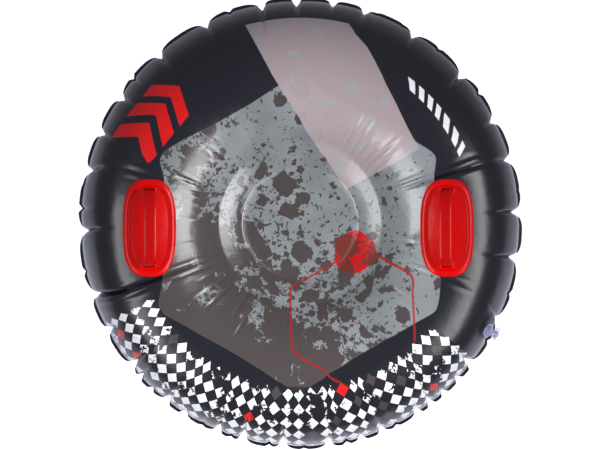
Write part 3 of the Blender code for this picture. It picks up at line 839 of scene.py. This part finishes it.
print("valve:", len(valve_base.data.polygons), "and", len(valve_stem.data.polygons), "faces")

# %% The stopper with its strap and tab
HEAD_UNDER = STEM_TOP + WELD_GAP
HEAD_OVER = HEAD_UNDER + 0.0022
HEAD_RADIUS = 0.0054
SHAFT_RADIUS = STEM_BORE - 0.0002
SHAFT_END = HEAD_UNDER - 0.0080
DIMPLE = (SHAFT_RADIUS * 0.6, HEAD_OVER - 0.0006)
STRAP_RING = {"radius": COLLAR_BORE, "wall": 0.0018, "top": STEM_TOP - 0.0042, "sheet": 0.0014}
STRAP = {"bulge": 0.0052, "thickness": 0.0016, "width": 0.0036, "squareness": 3.2}
TAB = {"radius": 0.0042, "hole": 0.0018, "sheet": 0.0015, "middle": HEAD_UNDER + 0.0011}


def washer(name, hole, radius, top, sheet, sides):
    """A flat ring round the Z axis."""
    low = top - sheet
    return turn(name, [(hole, top), (radius, top), (radius, low), (hole, low), (hole, top)], sides)


plug = [(0, DIMPLE[1]), DIMPLE]
plug += rounded((HEAD_RADIUS, HEAD_OVER), (SHAFT_RADIUS, HEAD_OVER), (HEAD_RADIUS, 0), 0.0008)
plug += rounded((HEAD_RADIUS, HEAD_UNDER), (HEAD_RADIUS, 1), (SHAFT_RADIUS, HEAD_UNDER), 0.0004)
plug += [(SHAFT_RADIUS, HEAD_UNDER)]
plug += rounded((SHAFT_RADIUS, SHAFT_END), (SHAFT_RADIUS, 1), (0.001, SHAFT_END), 0.0007)
stopper = turn("valve_plug", plug + [(0, SHAFT_END)], 48)
ring = washer("strap_ring", STRAP_RING["radius"], STRAP_RING["radius"] + STRAP_RING["wall"],
              STRAP_RING["top"], STRAP_RING["sheet"], 64)
tab = washer("pull_tab", TAB["hole"], TAB["radius"], TAB["middle"] + TAB["sheet"] / 2, TAB["sheet"], 40)
move_points(tab, points_of(tab) - (HEAD_RADIUS + TAB["hole"], 0, 0))


def strap():
    """The strap: a flat rod bent from the ring, out in a half loop and back to the head."""
    start = STRAP_RING["radius"] + STRAP_RING["wall"] / 2
    low, high = STRAP_RING["top"] - STRAP_RING["sheet"] / 2, TAB["middle"]
    route = [(start, low)]
    route += [(start + STRAP["bulge"] * (0.25 + cos(bend)),
               (low + high) / 2 + (high - low) / 2 * sin(bend))
              for bend in np.linspace(-pi / 2, pi / 2, 23)]
    route = np.array(route + [(HEAD_RADIUS * 0.7, high)])
    steps = len(route) - 1
    rod = turn("strap", [(0, 0)] + [(1, i) for i in range(steps + 1)] + [(0, steps)], 24)
    points = points_of(rod)
    index = np.clip(np.round(points[:, 2]).astype(int), 0, steps)
    ahead = np.gradient(route, axis=0)[index]
    wide, along, up = round_a_line(points, route[index], ahead, STRAP)
    move_points(rod, np.column_stack((along, wide, up)))
    face_outwards(rod)
    return rod


one_skin(stopper, [ring, tab, strap()], voxel=0.00022, rounds=4)
at_valve(stopper)
print("stopper:", len(stopper.data.polygons), "faces")

# %% What each valve piece rides on
for piece, body, node in ((valve_base, "sled", "valve_base"), (valve_stem, "stem", "valve_stem"),
                          (stopper, "stopper", "valve_stopper")):
    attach(piece, body)
    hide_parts(node)
    smooth(piece, angle=50)

# %% [markdown]
# ## The printed film
#
# The film is soft PVC, calendered into a charcoal sheet and screen printed while it is flat.
# PVC film has an IOR of about 1.53 and a satin gloss. The print is laid out in metres on the
# flat sheet's UV map, so it stretches and wrinkles with the film. Its motifs are geometric:
# a grey hexagon with dark ice chips in it, a slanted rose bar, a red hexagon and the outline
# of another, three red arrowheads, a row of white dashes, and rows of small worn white
# lozenges along the foot.

# %% Where a point lies on the flat sheet
CORNER_ROUNDING = 0.025
print_film, tree = blank_finish("printed_pvc_film")
sheet_map = add("UVMap", uv_map="flat_sheet")["UV"]
axes = add("SeparateXYZ", (sheet_map,))
from_middle = add("VectorMath", (sheet_map,), operation="LENGTH")["Value"]
around = add("Math", (axes["Y"], axes["X"]), operation="ARCTAN2")[0]


def towards(angle, places=sheet_map):
    """How far places lie in one direction, which is an angle from X towards Y in degrees."""
    direction = (cos(radians(angle)), sin(radians(angle)), 0)
    return add("VectorMath", (places, direction), operation="DOT_PRODUCT")["Value"]


def hexagon(x, y):
    """How far each point lies from a hexagon's middle, measured towards its nearest side."""
    moved = add("VectorMath", (sheet_map, (x, y, 0)), operation="SUBTRACT")[0]
    sides = [add("Math", (towards(angle, moved),), operation="ABSOLUTE")[0] for angle in (0, 60, 120)]
    away = sides[0]
    for side in sides[1:]:
        away = add("Math", (away, side, CORNER_ROUNDING), operation="SMOOTH_MAX")[0]
    return away


def both(*masks):
    """Where all the masks hold."""
    found = masks[0]
    for mask in masks[1:]:
        found = add("Math", (found, mask), operation="MULTIPLY")[0]
    return found


def between(value, low, high, soft=0.0006):
    """1 where a value lies between low and high, with an edge as soft as the ink's."""
    up = add("MapRange", {"Value": value, "From Min": low - soft, "From Max": low + soft})[0]
    down = add("MapRange", {"Value": value, "From Min": high + soft, "From Max": high - soft})[0]
    return both(up, down)


def ink(under, mask, colour, cover=1.0):
    """Prints one ink over what is there. A cover below 1 lets the print below shine through."""
    if cover < 1:
        mask = add("Math", (mask, cover), operation="MULTIPLY")[0]
    return add("Mix", {0: mask, 6: under, 7: colour}, data_type="RGBA")[2]


# %% [markdown]
# Noise breaks up the print. At scale 1 a texture has one lump to the metre, so its scale is
# 1000 divided by the wanted size in millimetres.

# %% Noises on the sheet
# each one's size in millimetres, and its detail
NOISES = {"crowding": (154, 2.0), "mottle": (111, 5.0), "stain": (37, 1.0), "uneven": (36, 2.0),
          "peel": (2.4, 2.0)}
noise = {}
for name, (size_mm, detail) in NOISES.items():
    noise[name] = add("TexNoise", {"Vector": sheet_map, "Scale": 1000 / size_mm, "Detail": detail},
                      noise_dimensions="2D")["Fac"]

# %% [markdown]
# The dark chips are Voronoi cells of four sizes. A cell is a chip when its own random number
# is low, and a broad noise makes chips crowd in some places and leave others bare. A finer
# noise pushes the coordinates about a little, so that the edges look torn. Where chips crowd
# most, another noise runs them together into floes.

# %% The hexagon field and its ice chips
TEAR = 0.016
frayed = add("TexNoise", {"Vector": sheet_map, "Scale": 1000 / 10.5, "Detail": 3.0, "Roughness": 0.6},
             noise_dimensions="2D")["Color"]
frayed = add("VectorMath", (frayed, (0.5, 0.5, 0.5)), operation="SUBTRACT")[0]
torn = add("VectorMath", (frayed, (TEAR, TEAR, 0), sheet_map), operation="MULTIPLY_ADD")[0]
lower_left = towards(degrees(atan2(-4, -3)))
crowding = add("Math", (noise["crowding"], 0.65, 0.175), operation="MULTIPLY_ADD")[0]
crowding = add("Math", (lower_left, 1.15, crowding), operation="MULTIPLY_ADD")[0]

FIELD_HALF_WIDTH = 0.312
in_field = between(hexagon(-0.004, -0.020), -1, FIELD_HALF_WIDTH)
grey = add("ValToRGB", {"Fac": noise["mottle"]}, stops=((0.35, "#727879"), (0.70, "#84898b")))
colour = ink("#12121b", in_field, grey["Color"])

floe = add("TexNoise", {"Vector": torn, "Scale": 1000 / 71, "Detail": 4.0, "Roughness": 0.65},
           noise_dimensions="2D")["Fac"]
floe = add("Math", (crowding, floe), operation="ADD")[0]
chips = add("Math", (floe, 1.22), operation="GREATER_THAN")[0]
for size_mm, share in ((46, 0.50), (17, 0.36), (8, 0.30), (4.5, 0.16)):
    cells = add("TexVoronoi", {"Vector": torn, "Scale": 1000 / size_mm}, voronoi_dimensions="2D")
    number = add("SeparateColor", (cells["Color"],))
    limit = add("MapRange", {"Value": crowding, "From Min": 0.38, "From Max": 0.86,
                             "To Min": 0.05, "To Max": 2.2 * share})[0]
    reach = add("MapRange", {"Value": number["Green"], "To Min": 0.24, "To Max": 0.62})[0]
    chosen = add("Math", (number["Red"], limit), operation="LESS_THAN")[0]
    near = add("Math", (cells["Distance"], reach), operation="LESS_THAN")[0]
    chips = add("Math", (chips, both(chosen, near)), operation="MAXIMUM")[0]
colour = ink(colour, both(chips, in_field), "#443d3c")
print("field and chips:", len(tree.nodes), "nodes")

# %% [markdown]
# Directions on the sheet are angles from X towards Y. The rose bar runs along 120 degrees. The
# arrowheads lie out at 141 degrees and point clockwise along the ring.

# %% The rose bar and the red hexagons
bar = both(between(towards(30), 0.118, 0.322), between(towards(120), 0.012, 0.62),
           between(from_middle, -1, 0.462))
colour = ink(colour, bar, "#a99a9b", 0.88)
colour = ink(colour, both(bar, between(noise["stain"], 0.665, 2, 0.02)), "#8fa4aa", 0.45)

colour = ink(colour, between(hexagon(0.118, -0.215), 0.136, 0.1405), "#97110e", 0.85)
block = between(hexagon(0.118, -0.062), -1, 0.046)
colour = ink(colour, block, "#c20000")
colour = ink(colour, both(block, chips), "#5c2a22", 0.9)

# %% Three red arrowheads along the ring
ARROWS = {"azimuth": 141, "radius": 0.402, "half_width": 0.052, "thickness": 0.034, "sweep": 0.75}
wing = add("Math", (towards(ARROWS["azimuth"]), ARROWS["radius"]), operation="SUBTRACT")[0]
wing = add("Math", (wing,), operation="ABSOLUTE")[0]
point = add("Math", (wing, ARROWS["sweep"], towards(ARROWS["azimuth"] - 90)),
            operation="MULTIPLY_ADD")[0]
in_wings = between(wing, -1, ARROWS["half_width"])
for start in (-0.075, -0.021, 0.033):
    arrow = both(between(point, start, start + ARROWS["thickness"]), in_wings)
    colour = ink(colour, arrow, "#d40200")

# %% White dashes along an arc
DASH_STEP = radians(4.4)
DASH_SLANT = -2.6  # radians to the metre
dash_angle = add("Math", (from_middle, DASH_SLANT, around), operation="MULTIPLY_ADD")[0]
phase = add("Math", (dash_angle, DASH_STEP), operation="FLOORED_MODULO")[0]
dashes = both(between(phase, DASH_STEP * 0.04, DASH_STEP * 0.62, 0.0012),
              between(from_middle, 0.386, 0.406),
              between(dash_angle, -8 * DASH_STEP, -DASH_STEP, 0.0012))
colour = ink(colour, dashes, "#f1f2f4")

# %% Rows of lozenges along the foot of the ring
LOZENGE_WIDTH, LOZENGE_HEIGHT = 0.029, 0.032
FOOT_RADIUS = 0.46
column = add("Math", (around, FOOT_RADIUS / LOZENGE_WIDTH), operation="MULTIPLY")[0]
row = add("Math", (from_middle, 1 / LOZENGE_HEIGHT), operation="MULTIPLY")[0]
foot = both(between(column, -42.5, -10.5, 0.02), between(row, 11.5, 17.5, 0.02))
place = add("CombineXYZ", {"X": column, "Y": row})[0]
lozenges = add("TexVoronoi", {"Vector": place, "Scale": 1.0, "Randomness": 0.0},
               voronoi_dimensions="2D", distance="MANHATTAN")
number = add("SeparateColor", (lozenges["Color"],))
inside = add("Math", (lozenges["Distance"], 0.46), operation="LESS_THAN")[0]
lozenge = both(foot, inside)
wear = add("TexNoise", {"Vector": torn, "Scale": 1000 / 50, "Detail": 4.0, "Roughness": 0.75},
           noise_dimensions="2D")["Fac"]
limit = add("MapRange", {"Value": from_middle, "From Min": 0.36, "From Max": 0.50,
                         "To Min": 0.53, "To Max": 0.60})[0]
unworn = add("Math", (wear, limit), operation="LESS_THAN")[0]
white = add("Math", (number["Green"], 0.86), operation="LESS_THAN")[0]
grey = add("Math", (1, white), operation="SUBTRACT")[0]
red = add("Math", (number["Red"], 0.05), operation="LESS_THAN")[0]
colour = ink(colour, foot, "#18181e", 0.80)
colour = ink(colour, both(lozenge, grey), "#4b4544", 0.7)
colour = ink(colour, both(lozenge, unworn, white), "#f1f2f4")
colour = ink(colour, both(lozenge, red), "#cc140f")

# %% [markdown]
# The film's face is not quite even. A fine orange peel comes from the rollers, the ink of the
# large hexagon is a little glossier than the film, and the tool that welds the seat floor
# leaves a flat ring 6 mm wide with a close ribbing pressed into it. Real orange peel is finer
# than a pixel, so it is drawn as coarse as 2.4 mm, and the ribs are 2 mm apart.

# %% The film's gloss and relief
RIBS = 380.0
weld_ring = between(from_middle, SEAT - 0.0065, SEAT - 0.0005, 0.0004)
ribs = add("Math", (around, RIBS), operation="MULTIPLY")[0]
ribs = add("Math", (ribs,), operation="SINE")[0]
height = add("Math", (noise["peel"], 0.00006), operation="MULTIPLY")[0]
for pattern, metres in ((noise["uneven"], 0.0006), (weld_ring, -0.00035),
                        (both(ribs, weld_ring), 0.00005)):
    height = add("Math", (pattern, metres, height), operation="MULTIPLY_ADD")[0]
gloss = add("MapRange", {"Value": noise["mottle"], "From Min": 0.3, "From Max": 0.7,
                         "To Min": 0.22, "To Max": 0.28})[0]
gloss = add("Math", (in_field, -0.05, gloss), operation="MULTIPLY_ADD")[0]
coat([upper], print_film, {"Base Color": colour, "Roughness": gloss, **relief(height, 1.0, 1.0)})
print("printed film:", len(tree.nodes), "nodes")

# %% [markdown]
# ## The plain films
#
# The runner film underneath is the same PVC, thicker and unprinted, with fine scuffs from
# being dragged. The strip inside is the plain film too.

# %% The runner film
runner_film, tree = blank_finish("plain_pvc_film")
place = add("TexCoord")["Object"]
scuffs = add("TexNoise", {"Vector": place, "Scale": 1000 / 17, "Detail": 6.0, "Roughness": 0.75,
                          "Distortion": 0.6})["Fac"]
tone = add("ValToRGB", {"Fac": scuffs}, stops=((0.30, "#131319"), (0.75, "#1f1f26")))
gloss = add("MapRange", {"Value": scuffs, "From Min": 0.35, "From Max": 0.7,
                         "To Min": 0.28, "To Max": 0.42})[0]
peel = add("TexNoise", {"Vector": place, "Scale": 1000 / 2})["Fac"]
coat([lower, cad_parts["seat_web"]], runner_film,
     {"Base Color": tone["Color"], "Roughness": gloss, **relief(peel, 0.4, 0.0002)})

# %% [markdown]
# ## Moulded red PVC
#
# The handles are injection moulded in soft red PVC. The mould is polished, so they are
# glossy, and light goes a few millimetres into the plastic. Their red is painted light and
# shade by height above the film: the recess floor is painted a lighter red against the shade
# that falls in it, the rim a mid red, and the bar the deepest red against the light on its
# top. A slow noise gives the small unevenness of a soft moulding, and a fine one its grain,
# which is drawn as coarse as 1.1 mm so that it shows.

# %% The handles' finish
red_pvc, tree = blank_finish("moulded_red_pvc")
place = add("TexCoord")["Object"]
slow = add("TexNoise", {"Vector": place, "Scale": 1000 / 22})["Fac"]
# painted light and shade: the tone follows height above the film, lighter red low in the shaded recess,
# deepest red high on the lit bar
how_high = add("Attribute", attribute_name="above_film")["Fac"]
how_high = add("MapRange", {"Value": how_high, "From Max": 0.030})[0]
how_high = add("Math", (slow, 0.06, how_high), operation="MULTIPLY_ADD")[0]
tone = add("ValToRGB", {"Fac": how_high}, stops=((0.13, "#d90100"), (0.22, "#bb0200"), (0.60, "#a90000")))
grain = add("TexNoise", {"Vector": place, "Scale": 1000 / 1.1})["Fac"]
height = add("Math", (slow, 8.0, grain), operation="MULTIPLY_ADD")[0]
coat(handles, red_pvc, {"Base Color": tone["Color"], "Roughness": 0.26, "Specular IOR Level": 0.18,
                        "Subsurface Weight": 0.5, "Subsurface Radius": (1.0, 0.1, 0.08),
                        "Subsurface Scale": 0.012, **relief(height, 0.5, 0.00018)})

# %% [markdown]
# ## Clear vinyl
#
# The valve is clear plasticised vinyl. Thick parts look milky and faintly lilac from the
# toner in it, so the shader mixes clear transmission with a pale body colour.

# %% The valve's finish
clear_vinyl, tree = blank_finish("clear_soft_vinyl")
place = add("TexCoord")["Object"]
cloud = add("TexNoise", {"Vector": place, "Scale": 1000 / 4})["Fac"]
tone = add("ValToRGB", {"Fac": cloud}, stops=((0.30, "#d6d4ff"), (0.75, "#f4f3ff")))
coat([valve_base, valve_stem, stopper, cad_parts["valve_flap"]], clear_vinyl,
     {"Base Color": tone["Color"], "Roughness": 0.06, "Transmission Weight": 0.72,
      **relief(cloud, 0.3, 0.0002)})
